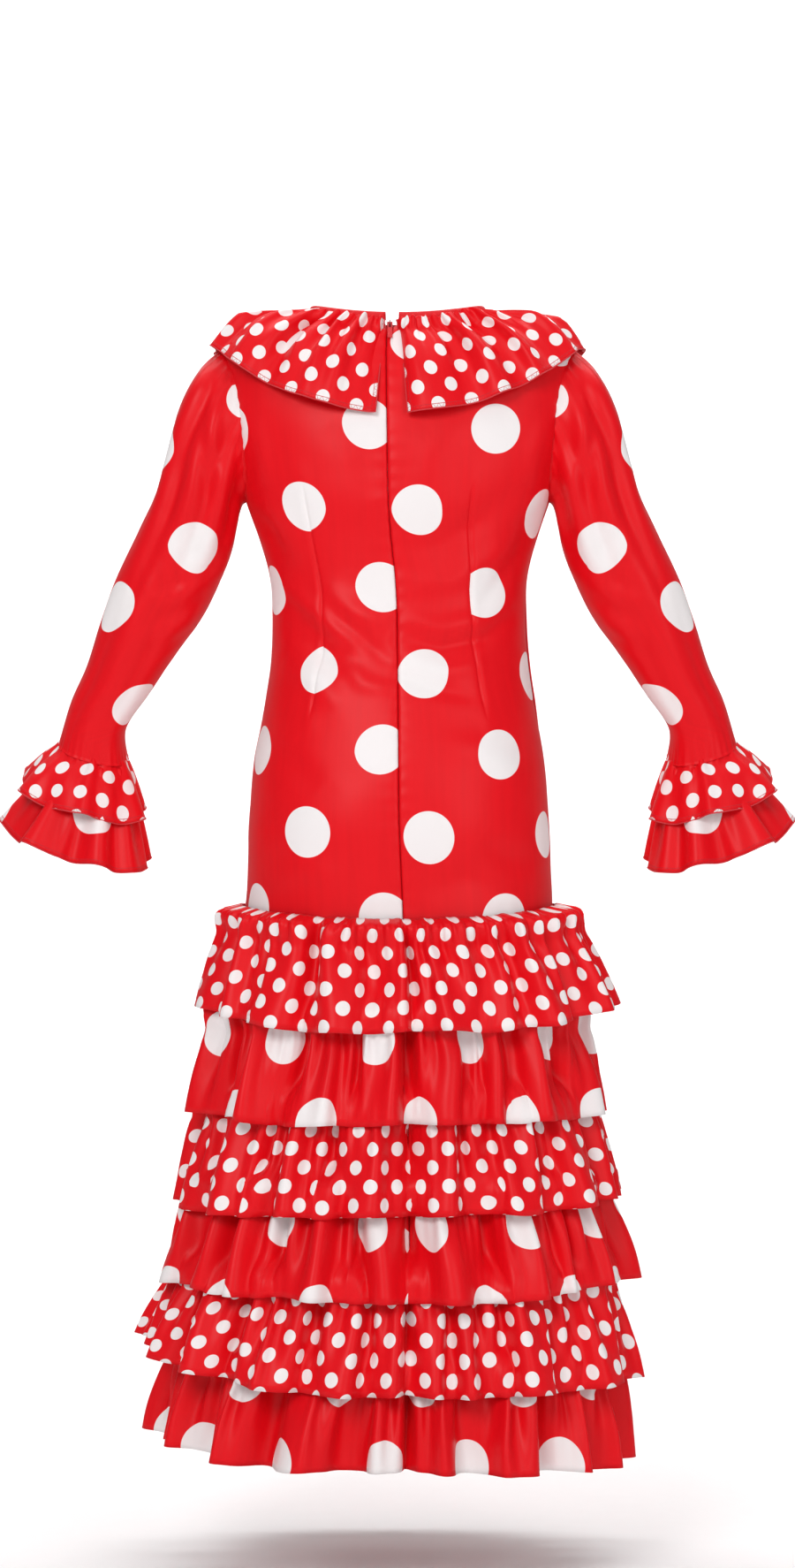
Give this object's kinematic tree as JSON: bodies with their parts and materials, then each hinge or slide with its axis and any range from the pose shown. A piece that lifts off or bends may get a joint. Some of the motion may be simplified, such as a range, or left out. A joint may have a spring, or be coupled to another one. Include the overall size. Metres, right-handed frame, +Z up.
{
  "type": "flamenco dress",
  "caption": "Fitted long-sleeved flamenco dress in dotted satin with a split neck ruffle, double cuff ruffles and a tiered ruffled skirt.",
  "frame": {"origin": "midway between the neck ends of the two shoulder seams, where the wearer's shoulders hold the dress up", "axes": "+Z up, -Y towards the wearer's front, +X towards the wearer's left"},
  "size_m": [0.6908, 0.3568, 0.9857],
  "materials": {
    "large_dot_satin": "light polyester satin, red with large white dots",
    "small_dot_satin": "light polyester satin, red with small white dots",
    "binding_satin": "plain red satin bias strip",
    "zip_tape": "woven red polyester tape",
    "zip_enamel": "red enamel"
  },
  "bodies": {
    "dress": {"back_left": "large_dot_satin", "back_right": "large_dot_satin", "front": "large_dot_satin", "sleeve_left": "large_dot_satin", "sleeve_right": "large_dot_satin", "cuff_upper_left": "small_dot_satin", "cuff_upper_right": "small_dot_satin", "cuff_lower_left": "large_dot_satin", "cuff_lower_right": "large_dot_satin", "collar_ruffle": "small_dot_satin", "neck_binding": "binding_satin", "tier_1": "small_dot_satin", "tier_2": "large_dot_satin", "tier_3": "small_dot_satin", "tier_4": "large_dot_satin", "tier_5": "small_dot_satin", "tier_6": "large_dot_satin", "zip_tape": "zip_tape", "zip_slider": "zip_enamel"},
    "pull_tab": {"zip_pull": "zip_enamel"}
  },
  "joints": [
    {"name": "pull_tab_swing", "type": "hinge", "parent": "dress", "child": "pull_tab", "pos_m": [0.0065, 0.05362, -0.01624], "axis": [1, 0, 0], "range_deg": [0, 140]}
  ]
}
